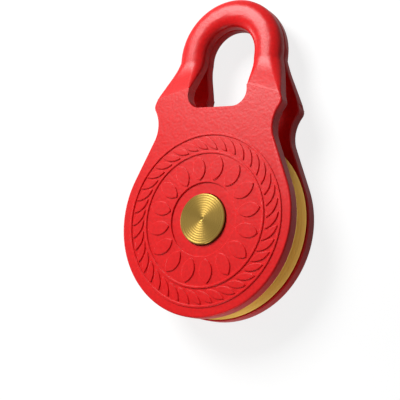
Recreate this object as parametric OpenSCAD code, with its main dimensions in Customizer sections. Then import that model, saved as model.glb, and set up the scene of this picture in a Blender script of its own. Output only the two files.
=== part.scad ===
// Snatch block: two forged cheek plates with half eyes, a grooved sheave and a headed axle.
// It lies on its rear cheek. The axle runs along Z, the eye points along +Y,
// and the origin is the middle of the sheave. Millimetres.

/* [Cheek plates] */
// Radius of the round part of a cheek plate
cheek_r = 62.5; // [60:0.5:66]
// Thickness of a cheek plate
cheek_t = 8.5; // [7.5:0.5:10]
// Gap between the inner faces of the two cheek plates
cheek_gap = 16; // [14:0.5:20]
// Lean of the straight sides above the round part, in degrees
side_lean = 24; // [22:0.5:26]
// Half width of the plate at the neck
neck_w = 43.5; // [42.5:0.5:44.5]
// Radius of the hollow at the neck
neck_r = 22; // [19:0.5:25]
// Half width of the plate at the shoulders
shoulder_w = 48.2; // [47.2:0.1:49.2]
// Radius of the shoulder corners
shoulder_r = 4.6; // [4:0.1:6]
// Rounding along the edge of the outer face
edge_r = 1.25; // [1:0.25:3]

/* [Eye] */
// Drop of the eye's flat lower edge below the centres of the shoulder corners
eye_drop = 2.1; // [0:0.1:4]
// Distance from the flat lower edge to the centre of the arch
eye_rise = 38.8; // [36:0.2:44]
// Inner radius of the arch
eye_r = 18.9; // [18:0.1:20.5]
// Half width of the eye near its lower edge
eye_w = 22.3; // [21.5:0.1:24.5]
// Radius of the lower corners of the eye
eye_corner = 10; // [8:0.5:12]
// Width of the bar that forms the arch
bar_w = 19.3; // [17:0.1:21]
// Height of the bar's crest above the parting plane
bar_h = 10.2; // [9:0.1:14]
// Width of the flat on the crest
crest_w = 2; // [1:0.25:3]
// Height of the upright wall inside the arch
inner_wall = 5; // [4:0.25:7]
// Height of the upright wall outside the arch
outer_wall = 4; // [3:0.25:6]
// Chamfer along the parting edges
parting_chamfer = 0.8; // [0.4:0.1:1.2]
// Gap between the two halves of the eye
parting_gap = 0.3; // [0.2:0.05:0.6]
// Length of the straight bar below the centre of the arch
arch_drop = 4; // [3:0.5:7]
// Rise of the crease at the eye above the eye's lower edge
crease_rise = 14; // [12:0.5:16]
// Rise of the crease at the shoulder above the shoulder's centre
crease_out = 5; // [3:0.25:6]

/* [Face relief] */
// Height of the relief above the face
relief_h = 0.8; // [0.4:0.1:1.2]
// Middle radius of the rope border
rope_r = 49.5; // [48:0.5:50]
// Number of strands in the rope border
strands = 40; // [32:1:44]
// Length of one strand
strand_l = 14; // [10:0.5:14.5]
// Width of one strand
strand_w = 4.4; // [3:0.2:5]
// Slant of the strands, in degrees
strand_slant = 52; // [40:1:60]
// Distance from the middle of the border to its two raised lines
line_offset = 6; // [5.5:0.1:6.5]
// Width of a raised line
line_w = 1.4; // [1:0.1:2]
// Middle radius of the rosette
rosette_r = 33.5; // [32:0.5:35]
// Number of petals in the rosette
petals = 16; // [8:1:17]
// Length of one petal
petal_l = 16; // [10:0.5:16]
// Width of one petal
petal_w = 9; // [5:0.5:9]

/* [Axle] */
// Radius of the axle's shank
shank_r = 12; // [10:0.5:13]
// Width of the head's rim beyond the shank
head_w = 4.4; // [3.5:0.1:6]
// Thickness of plate left under the head
seat_t = 4; // [3:0.25:5.5]
// Height of the head above the face of the plate
head_proud = 1; // [0.4:0.1:1.5]
// Chamfer of the head's rim
head_chamfer = 0.6; // [0.3:0.1:1]
// Radius of the shallow round recess about the head
recess_r = 24; // [22:0.5:25.5]
// Depth of the shallow recess
recess_d = 1; // [0.5:0.1:1.5]
// Distance of the axle's tail below the outer face of the rear plate
tail_depth = 0.3; // [0.2:0.1:1]
// Running clearance on the axle, on the radius
run_clear = 0.05; // [0.02:0.01:0.08]
// Gap left between faces that slide on each other
face_clear = 0.05; // [0.03:0.01:0.1]
// Radius of the grease gallery
gallery_r = 1.5; // [1:0.25:2]

/* [Axle retention] */
// Thickness of the washer behind the rear plate
end_washer_t = 1; // [0.8:0.1:1.4]
// Thickness of the retaining ring
ring_t = 1.2; // [1:0.1:1.4]
// Depth of the ring's groove
groove_d = 0.7; // [0.4:0.1:1]
// Radial width of the ring
ring_w = 3; // [2.5:0.1:3.6]
// Opening of the ring, in degrees
ring_open = 34; // [26:1:44]
// Radius of the holes in the ring's lugs
lug_hole_r = 0.8; // [0.6:0.1:0.9]

/* [Grease fitting] */
// Radius of the pocket that holds the fitting
pocket_r = 6; // [5.4:0.1:6.5]
// Depth of the pocket
pocket_d = 6.6; // [6:0.1:7.5]
// Size of the hexagon across its flats
hex_af = 8; // [7:0.1:9]
// Height of the hexagon
hex_h = 2.4; // [2:0.1:2.6]
// Radius of the fitting's shank
stem_r = 2.6; // [2.2:0.1:3]
// Length of the fitting's shank
stem_l = 5; // [4:0.1:6]
// Radius of the coupler head
nipple_r = 3; // [2.8:0.05:3.2]
// Radius of the neck below the coupler head
nipple_neck_r = 2.2; // [2:0.05:2.4]
// Radius of the check ball
ball_r = 1.2; // [1:0.05:1.3]
// Radius of the spring's wire
wire_r = 0.2; // [0.15:0.01:0.25]
// Number of turns in the spring
spring_turns = 5; // [4:1:6]

/* [Sheave] */
// Distance of the sheave's rim inside the edge of the cheeks
rim_setback = 0.8; // [0.5:0.1:2.5]
// Distance of the rim's side from the plate beside it
rim_gap = 1.3; // [1:0.1:2]
// Radius of the rope groove's bottom
groove_r = 4.8; // [4:0.1:5]
// Depth of the groove's centre below the rim
groove_depth = 10.2; // [9:0.1:12]
// Lean of the groove's flanks, in degrees
flank_lean = 8; // [4:0.5:10]
// Rounding of the groove's lips
lip_r = 0.8; // [0.5:0.1:0.9]
// Thickness of the thrust washers
washer_t = 0.6; // [0.4:0.05:0.8]
// Radius of the thrust washers and the sheave's hub faces
hub_r = 20; // [18.5:0.25:22]
// Radius at which the sheave's rim begins, beside the sunk web
web_r = 43; // [40:0.5:44]
// Depth of the sunk web below the hub's face
web_d = 1.8; // [1.4:0.1:2.4]
// Wall of the bronze bush
bush_wall = 3; // [2.5:0.25:3.5]
// Half width of the grease groove inside the bush
bush_groove_w = 1.5; // [1:0.25:2.5]
// Depth of the grease groove inside the bush
bush_groove_d = 0.8; // [0.5:0.1:1.2]

/* [Hidden] */
$fn = 96;

RED = "#d01418";
GOLD = "#b08d3c";
STEEL = "#a8a9ad";
BRONZE = "#8f6a3a";

// Heights above the mid-plane, which is also the parting plane of the eye
inner_z = cheek_gap / 2;
face_z = inner_z + cheek_t;
part_z = parting_gap / 2;
cut = 1;                    // how far a cutting shape runs past what it cuts
touch_step = 0.02;          // how far a straight edge runs inside the round corner that it meets
sink = 0.2;                 // how deep a raised line is rooted in the face

// Outline of the plate, right hand side
neck_x = neck_w + neck_r;
neck_y = (cheek_r + neck_r - cos(side_lean) * neck_x) / sin(side_lean);
shoulder_x = shoulder_w - shoulder_r;
shoulder_y = neck_y + sqrt(pow(neck_r + shoulder_r, 2) - pow(neck_x - shoulder_x, 2));
side_dir = [cos(side_lean), sin(side_lean)];
side_low = cheek_r * side_dir;
side_high = [neck_x, neck_y] - neck_r * side_dir;
neck_turn = atan2(shoulder_y - neck_y, shoulder_x - neck_x);
neck_end = [neck_x, neck_y] + neck_r * [cos(neck_turn), sin(neck_turn)];

// Eye and legs
eye_bottom = shoulder_y - eye_drop;
arch_y = eye_bottom + eye_rise;
leg_top = arch_y - arch_drop;
corner_x = eye_w - eye_corner;
corner_y = eye_bottom + eye_corner;
inner_touch = touch([eye_r, leg_top], [corner_x, corner_y], eye_corner);
outer_touch = touch([eye_r + bar_w, leg_top], [shoulder_x, shoulder_y], shoulder_r);
crease_in_y = eye_bottom + crease_rise;
crease_out_y = shoulder_y + crease_out;
crease_in = along([eye_r, leg_top], inner_touch, crease_in_y);
crease_end = along([eye_r + bar_w, leg_top], outer_touch, crease_out_y);
corner_l = sqrt(pow(shoulder_r, 2) - pow(shoulder_r - touch_step, 2));
corner_end = outer_touch + (crease_end - outer_touch) * corner_l / norm(crease_end - outer_touch);
leg_lean = atan2(corner_end[1] - shoulder_y, corner_end[0] - shoulder_x);
crease_turn = atan2(crease_end[1] - crease_in[1], crease_end[0] - crease_in[0]);
leg_turn = atan2(crease_end[1] - outer_touch[1], crease_end[0] - outer_touch[0]);
root_r = edge_r / sin(leg_turn - crease_turn);   // the edge's rounding, cut along the crease
leg_end = crease_end + edge_r * [cos(leg_turn), sin(leg_turn)];
hole_edge = 1;              // rounding of the leg where it meets the eye
root_step = 0.03;           // how far the leg's root lies inside the plate's end
edge_step = 0.02;           // how much deeper the straight edges are rounded than the curved ones
corner_step = 0.01;         // how much deeper the shoulder corner is rounded than the neck
corner_lap = 1;             // lap of those two roundings, in degrees
flank_steps = 6;
leg_steps = 10;
leg_last = 0.99;            // last ring of the leg before the crease, as a share of its length
root_sink = 0.05;           // length of the leg's root inside the plate, as the same share

// Axle and what sits on it
bore_r = shank_r + run_clear;
head_r = shank_r + head_w;
seat_z = inner_z + seat_t;
pocket_wall = 0.4;          // room round the head in its counterbore
counterbore_r = head_r + pocket_wall;
tail_z = -(face_z - tail_depth);
end_washer_z = -(seat_z + face_clear + end_washer_t);
ring_z = end_washer_z - face_clear - ring_t;
ring_in = shank_r - groove_d + run_clear;
lug_share = 0.75;           // radius of a lug as a share of the ring's width
lug_r = ring_w * lug_share;
dimple_r = 1.4;             // centre dimple of the head, half as deep as it is wide
tail_chamfer = 0.8;

// Grease fitting, from the floor of its pocket outwards
floor_z = tail_z + pocket_d;
hex_r = hex_af / 2 / cos(30);
nipple_gap = 0.4;           // room between the fitting's tip and the axle's end
nipple_l = pocket_d - hex_h - nipple_gap;
tip_z = tail_z + nipple_gap;
ball_room = 0.15;           // room round the ball in its cavity
cavity_r = ball_r + ball_room;
mouth_share = 0.75;         // radius of the mouth as a share of the ball's
mouth_r = ball_r * mouth_share;
mouth_l = 0.5;
ball_z = tip_z + mouth_l + sqrt(ball_r * ball_r - mouth_r * mouth_r) + run_clear;
spring_room = 0.08;         // room between the spring and the cavity's wall
spring_r = cavity_r - wire_r - spring_room;
spring_low = ball_z + sqrt(pow(ball_r + wire_r, 2) - pow(spring_r, 2)) + run_clear;
spring_seat_t = 1.2;        // thickness of the shank's end, which the spring stands on
spring_high = floor_z + stem_l - spring_seat_t - wire_r - run_clear;
stem_clear = 0.05;
stem_room = 0.5;            // room past the shank's end in its hole
head_share = 0.55;          // coupler head's length as a share of the coupler's
ridge_share = 0.6;          // height of the head's widest line as a share of the head

// Sheave
rim_r = cheek_r - rim_setback;
hub_z = inner_z - 2 * face_clear - washer_t;
rim_z = inner_z - rim_gap;
groove_y = rim_r - groove_depth;
lip_z = groove_r / cos(flank_lean) + (groove_depth + groove_r * sin(flank_lean)) * tan(flank_lean);
bush_r = shank_r + run_clear + bush_wall;
washer_in = shank_r + 0.2;

// Where a line from p ends just inside the circle about c, on the circle's right hand side
function touch(p, c, r) =
    let (d = c - p, s = r - touch_step, way = atan2(d[1], d[0]) + asin(s / norm(d)))
    p + sqrt(d * d - s * s) * [cos(way), sin(way)];

// The point of the line from p to q that has height y
function along(p, q, y) = p + (q - p) * (y - p[1]) / (q[1] - p[1]);

// Section of the arch's bar: distance from the arch's centre, height above the mid-plane.
// It runs from the inner parting edge over the crest to the outer parting edge.
function quarter(from, to, n) =
    [for (i = [0:n]) let (a = 90 * i / n)
        [to[0] + (from[0] - to[0]) * cos(a), from[1] + (to[1] - from[1]) * sin(a)]];
bar_mid = eye_r + bar_w / 2;
bar_out = eye_r + bar_w;
bar_section = concat(
    [[eye_r + parting_chamfer, part_z], [eye_r, part_z + parting_chamfer]],
    quarter([eye_r, inner_wall], [bar_mid - crest_w / 2, bar_h], flank_steps),
    reverse(quarter([bar_out, outer_wall], [bar_mid + crest_w / 2, bar_h], flank_steps)),
    [[bar_out, part_z + parting_chamfer], [bar_out - parting_chamfer, part_z]]);

function reverse(list) = [for (i = [len(list) - 1:-1:0]) list[i]];

// Section of the leg at the crease: share of the way from inner to outer end, and height
leg_w = norm(crease_end - crease_in);
root_section = concat(
    [[root_step + hole_edge / 2, inner_z + root_step], [root_step, inner_z + hole_edge / 2]],
    quarter([root_step, face_z - hole_edge], [hole_edge, face_z - root_step], flank_steps),
    reverse(quarter([leg_w - root_step, face_z - edge_r],
                    [leg_w - root_r, face_z - root_step], flank_steps)),
    [[leg_w - root_step, inner_z + hole_edge / 2],
     [leg_w - root_step - hole_edge / 2, inner_z + root_step]]);

// One ring of the leg's loft: s is 0 at the arch, 1 at the crease and more inside the plate.
// The height leaves the arch level and then rises to the crease.
function leg_ring(s) =
    [for (i = [0:len(bar_section) - 1])
        let (b = bar_section[i],
             c = crease_in + (crease_end - crease_in) * root_section[i][0] / leg_w,
             top = [b[0], leg_top],
             place = top + (c - top) * s,
             rise = s < 1 ? s * s * (2 - s) : 1)
        [place[0], place[1], b[1] + (root_section[i][1] - b[1]) * rise]];

// A closed body through rings of the same number of points
module loft(rings) {
    n = len(rings[0]);
    last = len(rings) - 1;
    polyhedron(
        points = [for (ring = rings, p = ring) p],
        faces = concat(
            [[for (i = [n - 1:-1:0]) i]],
            [for (k = [0:last - 1], i = [0:n - 1])
                let (j = (i + 1) % n) each [
                    [k * n + i, k * n + j, (k + 1) * n + i],
                    [(k + 1) * n + i, k * n + j, (k + 1) * n + j]]],
            [[for (i = [0:n - 1]) last * n + i]]));
}

// Flat outline of the plate up to the creases, with the eye's lower end cut out
module plate_outline() {
    difference() {
        union() {
            circle(cheek_r);
            polygon([
                side_low, side_high, neck_end, [shoulder_x, shoulder_y],
                outer_touch, crease_end, crease_in,
                flip(crease_in), flip(crease_end), flip(outer_touch),
                flip([shoulder_x, shoulder_y]), flip(neck_end), flip(side_high), flip(side_low)]);
            for (side = [-1, 1]) translate([side * shoulder_x, shoulder_y]) circle(shoulder_r);
        }
        for (side = [-1, 1]) translate([side * neck_x, neck_y]) circle(neck_r);
        eye_lower_outline();
    }
}

function flip(p) = [-p[0], p[1]];

module eye_lower_outline() {
    polygon([
        [corner_x, eye_bottom], [corner_x, corner_y], inner_touch, [eye_r, leg_top],
        [-eye_r, leg_top], flip(inner_touch), [-corner_x, corner_y], [-corner_x, eye_bottom]]);
    for (side = [-1, 1]) translate([side * corner_x, corner_y]) circle(eye_corner);
}

// Corner that is cut away to round an edge; the plate's body lies towards -X and below
module edge_corner() {
    translate([-edge_r, -edge_r]) difference() {
        square(edge_r + cut);
        circle(edge_r);
    }
}

// Rounds the outer face's edge round one side of the plate, from the axis to the crease
module edge_rounding() {
    translate([0, 0, face_z]) {
        rotate(-90) rotate_extrude(angle = 90 + side_lean) translate([cheek_r, 0]) edge_corner();
        edge_run(side_low, side_high);
        translate([neck_x, neck_y]) rotate(neck_turn)
            rotate_extrude(angle = 180 + side_lean - neck_turn)
                translate([neck_r, 0]) mirror([1, 0]) edge_corner();
        translate([shoulder_x, shoulder_y]) rotate(neck_turn - 180 - corner_lap)
            rotate_extrude(angle = 180 - neck_turn + leg_lean + corner_lap)
                translate([shoulder_r - corner_step, 0]) edge_corner();
        edge_run(corner_end, leg_end);
    }
}

// Straight stretch of the edge's rounding, from p to q with the plate on the left
module edge_run(p, q) {
    way = q - p;
    translate([p[0], p[1], 0]) rotate(atan2(way[1], way[0])) rotate([90, 0, 90])
        linear_extrude(norm(way)) mirror([1, 0]) translate([-edge_step, -edge_step])
            edge_corner();
}

module half_eye() {
    translate([0, arch_y, 0]) rotate_extrude(angle = 180) polygon(bar_section);
    for (side = [0, 1]) mirror([side, 0, 0]) {
        translate([0, arch_y, 0]) rotate([90, 0, 0]) linear_extrude(arch_drop)
            polygon(bar_section);
        loft([for (k = [0:leg_steps - 1]) leg_ring(k / leg_steps),
              leg_ring(leg_last), leg_ring(1 + root_sink)]);
    }
}

// A pointed leaf of length l along X and width w
module leaf(l, w) {
    arc_r = (l * l + w * w) / (4 * w);
    intersection() {
        translate([0, arc_r - w / 2]) circle(arc_r);
        translate([0, w / 2 - arc_r]) circle(arc_r);
    }
}

module ring_line(r) {
    difference() {
        circle(r + line_w / 2);
        circle(r - line_w / 2);
    }
}

// Rope border and rosette, raised on the face
module relief() {
    translate([0, 0, face_z - sink]) linear_extrude(sink + relief_h) {
        ring_line(rope_r - line_offset);
        ring_line(rope_r + line_offset);
        for (i = [0:strands - 1]) rotate(i * 360 / strands)
            translate([rope_r, 0]) rotate(strand_slant) leaf(strand_l, strand_w);
        for (i = [0:petals - 1]) rotate((i + 0.5) * 360 / petals)
            translate([rosette_r, 0]) leaf(petal_l, petal_w);
    }
}

// One forging, used for both cheeks: outer face towards +Z
module cheek_plate() {
    difference() {
        union() {
            difference() {
                translate([0, 0, inner_z]) linear_extrude(cheek_t) plate_outline();
                for (side = [0, 1]) mirror([side, 0, 0]) edge_rounding();
            }
            half_eye();
            relief();
        }
        translate([0, 0, inner_z - cut]) cylinder(r = bore_r, h = cheek_t + 2 * cut);
        translate([0, 0, seat_z]) cylinder(r = counterbore_r, h = cheek_t);
        translate([0, 0, face_z - recess_d]) cylinder(r = recess_r, h = recess_d + cut);
    }
}

module front_cheek_plate() {
    color(RED) cheek_plate();
}

module rear_cheek_plate() {
    color(RED) rotate([0, 180, 0]) cheek_plate();
}

// Headed axle with a ring groove at its tail and a drilled grease gallery
module axle() {
    head_z = seat_z + face_clear;
    top_z = face_z + head_proud;
    color(GOLD) difference() {
        rotate_extrude() polygon([
            [0, tail_z], [shank_r - tail_chamfer, tail_z], [shank_r, tail_z + tail_chamfer],
            [shank_r, ring_z - face_clear], [shank_r - groove_d, ring_z - face_clear],
            [shank_r - groove_d, ring_z + ring_t + face_clear / 2],
            [shank_r, ring_z + ring_t + face_clear / 2],
            [shank_r, head_z], [head_r, head_z], [head_r, top_z - head_chamfer],
            [head_r - head_chamfer, top_z], [dimple_r, top_z], [0, top_z - dimple_r / 2]]);
        translate([0, 0, tail_z - cut]) cylinder(r = pocket_r, h = pocket_d + cut);
        translate([0, 0, floor_z - cut])
            cylinder(r = stem_r + stem_clear, h = stem_l + cut + stem_room);
        translate([0, 0, floor_z]) cylinder(r = gallery_r, h = -floor_z);
        rotate([0, 90, 0]) cylinder(r = gallery_r, h = shank_r + cut);
    }
}

module retaining_washer() {
    color(STEEL) translate([0, 0, end_washer_z]) difference() {
        cylinder(r = head_r, h = end_washer_t);
        translate([0, 0, -cut]) cylinder(r = washer_in, h = end_washer_t + 2 * cut);
    }
}

// Open ring with two drilled lugs, its opening towards -Y
module retaining_ring() {
    lug_turn = ring_open / 2 + asin(lug_r / (ring_in + ring_w / 2));
    color(STEEL) translate([0, 0, ring_z]) difference() {
        union() {
            rotate(-90 + lug_turn) rotate_extrude(angle = 360 - 2 * lug_turn)
                translate([ring_in, 0]) square([ring_w, ring_t]);
            for (side = [-1, 1]) rotate(-90 + side * lug_turn)
                translate([ring_in + lug_r, 0, 0]) cylinder(r = lug_r, h = ring_t);
        }
        for (side = [-1, 1]) rotate(-90 + side * lug_turn)
            translate([ring_in + lug_r, 0, -cut]) cylinder(r = lug_hole_r, h = ring_t + 2 * cut);
    }
}

// Hexagon, coupler head and shank, bored for the ball and its spring
module grease_fitting() {
    head_l = nipple_l * head_share;
    color(STEEL) difference() {
        union() {
            translate([0, 0, floor_z - hex_h]) cylinder(r = hex_r, h = hex_h, $fn = 6);
            translate([0, 0, floor_z - cut]) cylinder(r = stem_r, h = stem_l + cut);
            rotate_extrude() polygon([
                [0, floor_z - hex_h + cut], [nipple_neck_r, floor_z - hex_h + cut],
                [nipple_neck_r, tip_z + head_l], [nipple_r, tip_z + head_l * ridge_share],
                [nipple_neck_r, tip_z], [0, tip_z]]);
        }
        translate([0, 0, tip_z + mouth_l])
            cylinder(r = cavity_r, h = spring_high + wire_r + run_clear - tip_z - mouth_l);
        translate([0, 0, tip_z - cut]) cylinder(r = mouth_r, h = mouth_l + 2 * cut);
        translate([0, 0, tip_z]) cylinder(r = mouth_r / 2, h = pocket_d + stem_l);
    }
}

module check_ball() {
    color(STEEL) translate([0, 0, ball_z]) sphere(ball_r);
}

// Coil spring that presses the ball into the fitting's mouth
module check_spring() {
    per_turn = 12;
    sides = 6;
    steps = spring_turns * per_turn;
    color(STEEL) loft([for (k = [steps:-1:0])
        let (a = 360 * k / per_turn, z = spring_low + (spring_high - spring_low) * k / steps)
        [for (i = [0:sides - 1]) let (b = 360 * i / sides, r = spring_r + wire_r * cos(b))
            [r * cos(a), r * sin(a), z + wire_r * sin(b)]]]);
}

module thrust_washer() {
    difference() {
        cylinder(r = hub_r, h = washer_t);
        translate([0, 0, -cut]) cylinder(r = washer_in, h = washer_t + 2 * cut);
    }
}

module front_thrust_washer() {
    color(BRONZE) translate([0, 0, hub_z + face_clear]) thrust_washer();
}

module rear_thrust_washer() {
    color(BRONZE) translate([0, 0, -hub_z - face_clear - washer_t]) thrust_washer();
}

// Half of the sheave's section beside the groove: distance from the axle and height
module sheave_section() {
    difference() {
        union() {
            translate([bush_r, -hub_z]) square([hub_r - bush_r, 2 * hub_z]);
            translate([bush_r, web_d - hub_z]) square([web_r - bush_r + cut, 2 * (hub_z - web_d)]);
            translate([web_r, -rim_z]) square([rim_r - web_r - lip_r, 2 * rim_z]);
            for (side = [-1, 1]) {
                translate([rim_r - lip_r, side * (rim_z - lip_r)]) circle(lip_r);
                translate([rim_r - 2 * lip_r, side * (rim_z - lip_r) - lip_r])
                    square([lip_r, 2 * lip_r]);
            }
        }
        translate([groove_y, 0]) circle(groove_r);
        polygon([
            [groove_y - groove_r * sin(flank_lean), groove_r * cos(flank_lean)],
            [rim_r + cut, lip_z], [rim_r + cut, -lip_z],
            [groove_y - groove_r * sin(flank_lean), -groove_r * cos(flank_lean)]]);
    }
}

module sheave() {
    color(GOLD) rotate_extrude() sheave_section();
}

// Bush with a grease groove round the middle of its bore
module sheave_bush() {
    color(BRONZE) rotate_extrude() difference() {
        translate([bore_r, -hub_z]) square([bush_wall, 2 * hub_z]);
        translate([bore_r - cut, -bush_groove_w]) square([bush_groove_d + cut, 2 * bush_groove_w]);
    }
}

rear_cheek_plate();
front_cheek_plate();
axle();
retaining_washer();
retaining_ring();
grease_fitting();
check_ball();
check_spring();
rear_thrust_washer();
front_thrust_washer();
sheave();
sheave_bush();
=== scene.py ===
"""Snatch block: two red forged cheek plates with half eyes round a gold plated sheave.

It lies on its rear cheek. Z runs along the axle, Y points to the eye, and the origin is
the middle of the sheave. Sizes are in millimetres, and MM turns them to metres.
"""

import math

import bmesh
import bpy
from mathutils import Matrix, Vector


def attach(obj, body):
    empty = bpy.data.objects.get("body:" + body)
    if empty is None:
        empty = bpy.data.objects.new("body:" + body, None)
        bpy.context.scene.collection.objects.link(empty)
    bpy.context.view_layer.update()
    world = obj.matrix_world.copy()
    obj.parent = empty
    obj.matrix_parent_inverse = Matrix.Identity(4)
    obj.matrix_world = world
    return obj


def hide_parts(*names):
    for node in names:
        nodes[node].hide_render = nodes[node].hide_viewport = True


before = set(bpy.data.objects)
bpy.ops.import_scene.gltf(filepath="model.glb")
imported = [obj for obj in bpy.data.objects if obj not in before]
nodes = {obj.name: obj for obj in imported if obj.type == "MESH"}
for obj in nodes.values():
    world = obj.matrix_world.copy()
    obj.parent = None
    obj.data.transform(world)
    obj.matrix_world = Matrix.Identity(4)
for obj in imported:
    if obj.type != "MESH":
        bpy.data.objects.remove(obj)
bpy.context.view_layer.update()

MM = 0.001

# Cheek plates: heights from the middle of the block, and radii about the axle
INNER_Z = 8.0
FACE_Z = 16.5
RELIEF_Z = 17.3
RECESS_Z = 15.5
RECESS_R = 24.0
COUNTERBORE_R = 16.8
ROSETTE_REACH = 57.0

# The block lies on the rear plate's relief
FLOOR_Z = -RELIEF_Z

# Axle
HEAD_R = 16.4
HEAD_SEAT_Z = 12.05
HEAD_TOP_Z = 17.5
HEAD_CORNER = 0.6
SHANK_R = 12.0
TAIL_Z = -16.2
TAIL_CHAMFER = 0.8
RING_GROOVE_R = 11.3
RING_GROOVE_Z = (-14.85, -13.575)
POCKET_R = 6.0
POCKET_FLOOR_Z = -9.6
POCKET_CHAMFER = 0.3
FITTING_HOLE_R = 2.65
FITTING_HOLE_Z = -4.1
GALLERY_R = 1.5

# Sheave
RIM_R = 61.7
RIM_Z = 6.7
HUB_R = 20.0
HUB_Z = 7.3
WEB_R = 43.0
WEB_Z = 5.5
SHEAVE_BORE_R = 15.05
GROOVE_R = 4.8
GROOVE_CENTRE_R = 51.5
FLANK_LEAN = math.radians(8)
LIP_R = 0.8
# Height at which the solid's flank reaches the rim. It lies a little high, so that the flank
# leans about half a degree more than the groove's round bottom asks
LIP_Z = GROOVE_R / math.cos(FLANK_LEAN) + (
    RIM_R - GROOVE_CENTRE_R + GROOVE_R * math.sin(FLANK_LEAN)
) * math.tan(FLANK_LEAN)

# Widths to which edges are eased
INNER_EDGE = 0.9
RELIEF_TOP_EDGE = 0.32
RELIEF_FOOT_EDGE = 0.12
RECESS_EDGE = 0.25
HARDWARE_EDGE = 0.12
NIPPLE_EDGE = 0.1

# Vertices closer than this are one
WELD = 0.001

# Facets round the two turned pieces
WHEEL_FACETS = 256
AXLE_FACETS = 192

# Camera fitted to the photograph's outline: its place in metres and its turn in radians
CAMERA_PLACE = (0.32841, -0.08664, 0.52572)
CAMERA_TURN = 0.600415
CAMERA_TURN_AXIS = (0.31359, 0.94421, 0.10057)
CAMERA_LENS = 86.97

# Floor and sky: the floor's half width in metres, what is added to its light for the camera and
# in reflections, and the sky's strength as it lights the block and as it is seen
FLOOR_REACH = 4
FLOOR_LIFT = 0.82
FLOOR_LIFT_REFLECTED = 0.4
SKY_LIGHT = 0.1
SKY_SEEN = 1.0


# Camera, at the viewing angle of the photograph

camera_data = bpy.data.cameras.new("camera")
camera_data.lens = CAMERA_LENS
camera_data.sensor_width = 36
camera_data.clip_start = 0.05
camera = bpy.data.objects.new("camera", camera_data)
camera.matrix_world = Matrix.Translation(CAMERA_PLACE) @ Matrix.Rotation(CAMERA_TURN, 4, CAMERA_TURN_AXIS)
bpy.context.scene.collection.objects.link(camera)
bpy.context.scene.camera = camera
bpy.context.scene.view_settings.view_transform = "Standard"


# Materials


def linear(hex_colour):
    """Linear RGBA of an sRGB hex colour."""
    parts = [int(hex_colour[i : i + 2], 16) / 255 for i in (1, 3, 5)]
    return [c / 12.92 if c <= 0.04045 else ((c + 0.055) / 1.055) ** 2.4 for c in parts] + [1]


def add(tree, kind, settings=None, **inputs):
    """Adds a node. An input is a value, or (node, output) for a link; in0, in1 are sockets by number."""
    node = tree.nodes.new(kind)
    for key, value in (settings or {}).items():
        setattr(node, key, value)
    for key, value in inputs.items():
        by_number = key[:2] == "in" and key[2:].isdigit()
        socket = node.inputs[int(key[2:])] if by_number else node.inputs[key.replace("_", " ")]
        if isinstance(value, tuple) and isinstance(value[0], bpy.types.Node):
            tree.links.new(value[0].outputs[value[1]], socket)
        else:
            socket.default_value = value
    return node


def finish(name, colour, metallic, roughness):
    """A material with its Principled shader set, its tree and its Object coordinates."""
    made = bpy.data.materials.new(name)
    made.use_nodes = True
    tree = made.node_tree
    shader = tree.nodes["Principled BSDF"]
    shader.inputs["Base Color"].default_value = linear(colour)
    shader.inputs["Metallic"].default_value = metallic
    shader.inputs["Roughness"].default_value = roughness
    return made, tree, shader, add(tree, "ShaderNodeTexCoord")


def powder_coated_forging():
    """Red powder coat on a forging: a deep even red with a soft sheen and an orange peel."""
    made, tree, shader, place = finish("powder_coated_forging", "#DA1216", 0.0, 0.33)
    shader.inputs["Specular IOR Level"].default_value = 0.25
    shader.inputs["IOR"].default_value = 1.5
    # widths of the orange peel's cells and of the forging's slow waves
    cell = 1.8 * MM
    wave = 7 * MM
    peel = add(
        tree, "ShaderNodeTexNoise", Vector=(place, "Object"), Scale=1 / cell, Detail=2.0, Roughness=0.45
    )
    waves = add(
        tree, "ShaderNodeTexNoise", Vector=(place, "Object"), Scale=1 / wave, Detail=1.0, Roughness=0.4
    )
    low = add(tree, "ShaderNodeBump", Strength=0.16, Distance=0.5 * MM, Height=(waves, "Fac"))
    fine = add(
        tree, "ShaderNodeBump", Strength=0.6, Distance=0.14 * MM,
        Height=(peel, "Fac"), Normal=(low, "Normal")
    )
    tree.links.new(fine.outputs["Normal"], shader.inputs["Normal"])
    # the colour is a little darker in the hollows of the peel and a little lighter on its crests
    shade = add(tree, "ShaderNodeValToRGB", Fac=(peel, "Fac"))
    shade.color_ramp.elements[0].position = 0.3
    shade.color_ramp.elements[0].color = linear("#D0070B")
    shade.color_ramp.elements[1].position = 0.7
    shade.color_ramp.elements[1].color = linear("#E00B0F")
    tree.links.new(shade.outputs["Color"], shader.inputs["Base Color"])
    return made


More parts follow.
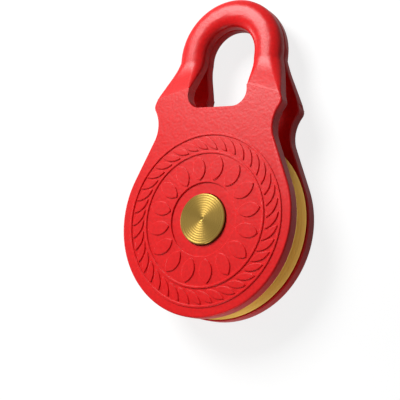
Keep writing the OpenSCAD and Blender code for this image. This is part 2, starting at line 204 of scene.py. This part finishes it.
def turned_plated_steel(name, colour, roughness, anisotropy, pitch, depth):
    """Steel turned on a lathe and plated yellow: rings about the axle that spread a highlight
    across them. The rings are pitch mm apart, coarser than real tool marks, so that they show."""
    made, tree, shader, place = finish(name, colour, 1.0, roughness)
    shader.inputs["Anisotropic"].default_value = anisotropy
    shader.inputs["Anisotropic Rotation"].default_value = 0.25
    tangent = add(tree, "ShaderNodeTangent", {"direction_type": "RADIAL", "axis": "Z"})
    tree.links.new(tangent.outputs["Tangent"], shader.inputs["Tangent"])
    # distance from the axle and height along it, so that each ring has one value all round
    across = add(
        tree, "ShaderNodeVectorMath", {"operation": "MULTIPLY"}, in0=(place, "Object"), in1=(1, 1, 0)
    )
    radius = add(tree, "ShaderNodeVectorMath", {"operation": "LENGTH"}, in0=(across, "Vector"))
    parts = add(tree, "ShaderNodeSeparateXYZ", Vector=(place, "Object"))
    ring = add(tree, "ShaderNodeCombineXYZ", X=(radius, "Value"), Z=(parts, "Z"))
    lines = add(
        tree, "ShaderNodeTexNoise", Vector=(ring, "Vector"), Scale=1 / (pitch * MM),
        Detail=3.0, Roughness=0.6
    )
    bump = add(tree, "ShaderNodeBump", Strength=0.5, Distance=depth * MM, Height=(lines, "Fac"))
    tree.links.new(bump.outputs["Normal"], shader.inputs["Normal"])
    gloss = add(
        tree, "ShaderNodeMapRange", Value=(lines, "Fac"), From_Min=0.3, From_Max=0.7,
        To_Min=roughness - 0.06, To_Max=roughness + 0.1
    )
    tree.links.new(gloss.outputs["Result"], shader.inputs["Roughness"])
    return made


def worked_metal(name, colour, roughness, grain, spread):
    """Plain metal whose roughness wanders by spread over patches grain mm across."""
    made, tree, shader, place = finish(name, colour, 1.0, roughness)
    patches = add(
        tree, "ShaderNodeTexNoise", Vector=(place, "Object"), Scale=1 / (grain * MM),
        Detail=3.0, Roughness=0.6
    )
    gloss = add(
        tree, "ShaderNodeMapRange", Value=(patches, "Fac"), From_Min=0.3, From_Max=0.7,
        To_Min=roughness - spread, To_Max=roughness + spread
    )
    tree.links.new(gloss.outputs["Result"], shader.inputs["Roughness"])
    return made


RED = powder_coated_forging()
# The head is faced in one cut, so its rings are fine and its highlight is a sharp bow tie
GOLD_HEAD = turned_plated_steel(
    "faced_plated_steel", "#826A33", roughness=0.3, anisotropy=0.75, pitch=0.5, depth=0.02
)
# The sheave's groove is cut by a form tool and is a little rougher. It stands in the plates' shade,
# so its plating is written paler than the head's to look like it
GOLD_SHEAVE = turned_plated_steel(
    "grooved_plated_steel", "#E0B962", roughness=0.45, anisotropy=0.75, pitch=1.3, depth=0.45
)
# Zinc plate is pale, a little blue and even
ZINC = worked_metal("zinc_plated_steel", "#B8BABD", roughness=0.33, grain=1.5, spread=0.06)
# Phosphated and oiled spring steel is almost black with a dull sheen
SPRING_STEEL = worked_metal("oiled_spring_steel", "#3A3A3C", roughness=0.42, grain=0.8, spread=0.08)
# A hardened ball is polished like a mirror
BALL_STEEL = worked_metal("polished_ball_steel", "#D0D0D3", roughness=0.1, grain=1.0, spread=0.02)
# Bearing bronze is machined and shows a dull brown gold
BRONZE = worked_metal("bearing_bronze", "#9A6F3E", roughness=0.36, grain=1.2, spread=0.08)


# Pieces


def show(name, bm, body, stands_for, paint, sharp=35):
    """Makes a piece of a finished bmesh that rides on body in place of the solid stands_for.
    Edges that turn by more than sharp degrees stay hard."""
    bmesh.ops.recalc_face_normals(bm, faces=bm.faces)
    mesh = bpy.data.meshes.new(name)
    bm.to_mesh(mesh)
    bm.free()
    mesh.shade_smooth()
    mesh.set_sharp_from_angle(angle=math.radians(sharp))
    mesh.materials.append(paint)
    piece = bpy.data.objects.new(name, mesh)
    bpy.context.scene.collection.objects.link(piece)
    weighted = piece.modifiers.new("flat_faces_stay_flat", "WEIGHTED_NORMAL")
    weighted.keep_sharp = True
    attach(piece, body)
    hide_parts(stands_for)
    return piece


def merged(node, hair=0.12):
    """A copy of a solid's mesh, joined up, with steps under hair mm closed and flat faces in one."""
    bm = bmesh.new()
    bm.from_mesh(nodes[node].data)
    bmesh.ops.remove_doubles(bm, verts=bm.verts, dist=WELD * MM)
    bmesh.ops.dissolve_degenerate(bm, edges=bm.edges, dist=hair * MM)
    bmesh.ops.dissolve_limit(bm, angle_limit=math.radians(1.5), verts=bm.verts, edges=bm.edges)
    return bm


def ease(bm, width, segments, chosen):
    """Rounds the sharp edges whose two ends are both chosen: chosen gets a radius and a height in mm."""
    edges = [
        edge
        for edge in bm.edges
        if edge.is_manifold
        and edge.calc_face_angle(0) > math.radians(25)
        and all(chosen(math.hypot(v.co.x, v.co.y) / MM, v.co.z / MM) for v in edge.verts)
    ]
    bmesh.ops.bevel(
        bm, geom=edges, offset=width * MM, offset_type="OFFSET", affect="EDGES",
        segments=segments, profile=0.5, material=-1, clamp_overlap=False
    )


def near(value, target, slack=0.03):
    """Whether two sizes in mm agree within slack."""
    return abs(value - target) < slack


def cheek_forging(name, node, side, body):
    """A cheek plate with its edges eased as forging dies and a powder coat leave them.
    side is 1 for the front plate and -1 for the rear one."""

    def on_inner_face(r, z):
        return near(z, side * INNER_Z)

    def on_relief(r, z):
        return near(z, side * RELIEF_Z)

    def at_recess_mouth(r, z):
        return near(z, side * FACE_Z) and near(r, RECESS_R, 0.1)

    def at_relief_foot(r, z):
        return near(z, side * FACE_Z) and r < ROSETTE_REACH and not near(r, RECESS_R, 0.1)

    def at_counterbore_mouth(r, z):
        return near(z, side * RECESS_Z) and near(r, COUNTERBORE_R, 0.1)

    bm = merged(node)
    ease(bm, INNER_EDGE, 3, on_inner_face)
    ease(bm, RELIEF_TOP_EDGE, 3, on_relief)
    ease(bm, RELIEF_FOOT_EDGE, 2, at_relief_foot)
    ease(bm, RECESS_EDGE, 3, at_recess_mouth)
    ease(bm, RECESS_EDGE, 2, at_counterbore_mouth)
    show(name, bm, body, node, RED)


cheek_forging("front_cheek_forging", "front_cheek_plate", 1, "swing_plate")
cheek_forging("rear_cheek_forging", "rear_cheek_plate", -1, "frame")


def turned(section, steps):
    """A solid turned about Z: section is a closed line of (radius, height) corners in mm."""
    bm = bmesh.new()
    corners = [bm.verts.new((r * MM, 0, z * MM)) for r, z in section]
    edges = [bm.edges.new((a, b)) for a, b in zip(corners, corners[1:] + corners[:1])]
    bmesh.ops.spin(
        bm, geom=corners + edges, cent=(0, 0, 0), axis=(0, 0, 1),
        angle=math.tau, steps=steps, use_merge=True
    )
    bmesh.ops.remove_doubles(bm, verts=bm.verts, dist=WELD * MM)
    return bm


def arc(r, z, radius, start, end, steps):
    """Points of an arc about (r, z), with its angles in degrees from the outward direction."""
    turns = [math.radians(start + (end - start) * i / steps) for i in range(steps + 1)]
    return [(r + radius * math.cos(t), z + radius * math.sin(t)) for t in turns]


def grooved_wheel():
    """The sheave: a round groove with leaning flanks, eased lips, a sunk web and raised hub faces."""
    lean = math.degrees(FLANK_LEAN)
    corner = 0.4
    fillet = 0.8
    chamfer = 0.3
    web_wall_lean = 0.1
    lip_in = 0.55
    upper = [(SHEAVE_BORE_R, HUB_Z - chamfer), (SHEAVE_BORE_R + chamfer, HUB_Z)]
    upper += arc(HUB_R - corner, HUB_Z - corner, corner, 90, 0, 4)
    upper += arc(HUB_R + fillet, WEB_Z + fillet, fillet, 180, 270, 4)
    upper += arc(WEB_R - fillet, WEB_Z + corner, corner, 270, 360, 4)
    upper += arc(WEB_R + web_wall_lean, RIM_Z - chamfer, chamfer, 180, 90, 3)
    upper += arc(RIM_R - LIP_R, RIM_Z - LIP_R, LIP_R, 90, 35, 6)
    flank_top = (RIM_R - lip_in, LIP_Z - lip_in * math.tan(FLANK_LEAN))
    # one more corner keeps the lip round where it turns into the flank
    upper += [(flank_top[0] + 0.25, flank_top[1] + 0.18), flank_top]
    upper += arc(GROOVE_CENTRE_R, 0, GROOVE_R, 90 + lean, 180, 14)
    lower = [(r, -z) for r, z in reversed(upper[:-1])]
    bm = turned(upper + lower, WHEEL_FACETS)
    show("grooved_wheel", bm, "pulley", "sheave", GOLD_SHEAVE, sharp=40)


grooved_wheel()


def headed_axle():
    """The axle: its faced head with tool marks and a centre dimple, its ring groove and its drillings."""
    pitch = 1.55
    marks = 9
    depth = 0.06
    rim = 1.1
    # across one tool mark: shares of its pitch and of its depth
    mark_shape = ((0, 0), (0.12, 0.6), (0.3, 1), (0.55, 0.75), (0.8, 0.3))
    # down into the centre dimple: radii and depths
    dimple = ((1.2, 0.02), (0.9, 0.25), (0.4, 0.6), (0, 0.7))
    section = [
        (0, 0), (GALLERY_R, 0), (GALLERY_R, FITTING_HOLE_Z), (FITTING_HOLE_R, FITTING_HOLE_Z),
        (FITTING_HOLE_R, POCKET_FLOOR_Z), (POCKET_R, POCKET_FLOOR_Z),
        (POCKET_R, TAIL_Z + POCKET_CHAMFER), (POCKET_R + POCKET_CHAMFER, TAIL_Z),
        (SHANK_R - TAIL_CHAMFER, TAIL_Z), (SHANK_R, TAIL_Z + TAIL_CHAMFER),
        (SHANK_R, RING_GROOVE_Z[0]), (RING_GROOVE_R, RING_GROOVE_Z[0]),
        (RING_GROOVE_R, RING_GROOVE_Z[1]), (SHANK_R, RING_GROOVE_Z[1]),
        (SHANK_R, HEAD_SEAT_Z), (HEAD_R, HEAD_SEAT_Z),
    ]
    section += arc(HEAD_R - HEAD_CORNER, HEAD_TOP_Z - HEAD_CORNER, HEAD_CORNER, 0, 90, 5)
    for mark in range(marks):
        outer = HEAD_R - rim - mark * pitch
        section += [(outer - share * pitch, HEAD_TOP_Z - drop * depth) for share, drop in mark_shape]
    section += [(r, HEAD_TOP_Z - drop) for r, drop in dimple]
    bm = turned(section, AXLE_FACETS)
    show("headed_axle", bm, "frame", "axle", GOLD_HEAD, sharp=40)


headed_axle()


def eased_hardware(name, node, width, paint):
    """A small part with all its sharp edges broken by width mm."""
    bm = merged(node, hair=0.02)
    ease(bm, width, 2, lambda r, z: True)
    show(name, bm, "frame", node, paint)


eased_hardware("end_washer", "retaining_washer", HARDWARE_EDGE, ZINC)
eased_hardware("snap_ring", "retaining_ring", HARDWARE_EDGE, SPRING_STEEL)
eased_hardware("grease_nipple", "grease_fitting", NIPPLE_EDGE, ZINC)

# The inner pieces keep their own solids
for node, paint in {
    "check_ball": BALL_STEEL,
    "check_spring": SPRING_STEEL,
    "rear_thrust_washer": BRONZE,
    "front_thrust_washer": BRONZE,
    "sheave_bush": BRONZE,
}.items():
    nodes[node].data.materials.clear()
    nodes[node].data.materials.append(paint)


# Floor and lights

floor_mesh = bpy.data.meshes.new("floor")
bm = bmesh.new()
bmesh.ops.create_grid(bm, x_segments=1, y_segments=1, size=FLOOR_REACH)
bmesh.ops.translate(bm, verts=bm.verts, vec=(0, 0, FLOOR_Z * MM))
bm.to_mesh(floor_mesh)
bm.free()
floor = bpy.data.objects.new("floor", floor_mesh)
bpy.context.scene.collection.objects.link(floor)

floor_paint, floor_tree, floor_shader, _ = finish("pale_floor", "#7C7C7C", 0.0, 0.9)
floor_shader.inputs["Specular IOR Level"].default_value = 0.0
# The camera sees the floor lifted to white, with its shadows kept, and reflections show it less so
path = add(floor_tree, "ShaderNodeLightPath")
mirrored = add(
    floor_tree, "ShaderNodeMath", {"operation": "MULTIPLY"},
    in0=(path, "Is Glossy Ray"), in1=FLOOR_LIFT_REFLECTED
)
lift = add(
    floor_tree, "ShaderNodeMath", {"operation": "MULTIPLY_ADD"},
    in0=(path, "Is Camera Ray"), in1=FLOOR_LIFT, in2=(mirrored, "Value")
)
floor_shader.inputs["Emission Color"].default_value = (1, 1, 1, 1)
floor_tree.links.new(lift.outputs["Value"], floor_shader.inputs["Emission Strength"])
floor_mesh.materials.append(floor_paint)

world = bpy.data.worlds.new("studio")
bpy.context.scene.world = world
world.use_nodes = True
background = world.node_tree.nodes["Background"]
background.inputs["Color"].default_value = (1, 1, 1, 1)
# The sky lights the block softly, and is brighter to the camera and in reflections
ray = add(world.node_tree, "ShaderNodeLightPath")
seen = add(
    world.node_tree, "ShaderNodeMath", {"operation": "MAXIMUM"},
    in0=(ray, "Is Camera Ray"), in1=(ray, "Is Glossy Ray")
)
sky = add(
    world.node_tree, "ShaderNodeMapRange", Value=(seen, "Value"), To_Min=SKY_LIGHT, To_Max=SKY_SEEN
)
world.node_tree.links.new(sky.outputs["Result"], background.inputs["Strength"])


def softbox(name, place, size, power):
    """A square lamp that looks at the block, with its place and size in metres and its power in watts."""
    lamp = bpy.data.lights.new(name, "AREA")
    lamp.size = size
    lamp.energy = power
    made = bpy.data.objects.new(name, lamp)
    made.location = place
    made.rotation_euler = (-Vector(place)).to_track_quat("-Z", "Y").to_euler()
    bpy.context.scene.collection.objects.link(made)


softbox("key", place=(-0.52, 0.74, 0.95), size=0.55, power=21)
softbox("left", place=(-1.2, 0.12, 0.3), size=0.3, power=3.5)
softbox("low", place=(-0.1, -1.05, 0.18), size=0.4, power=4.5)
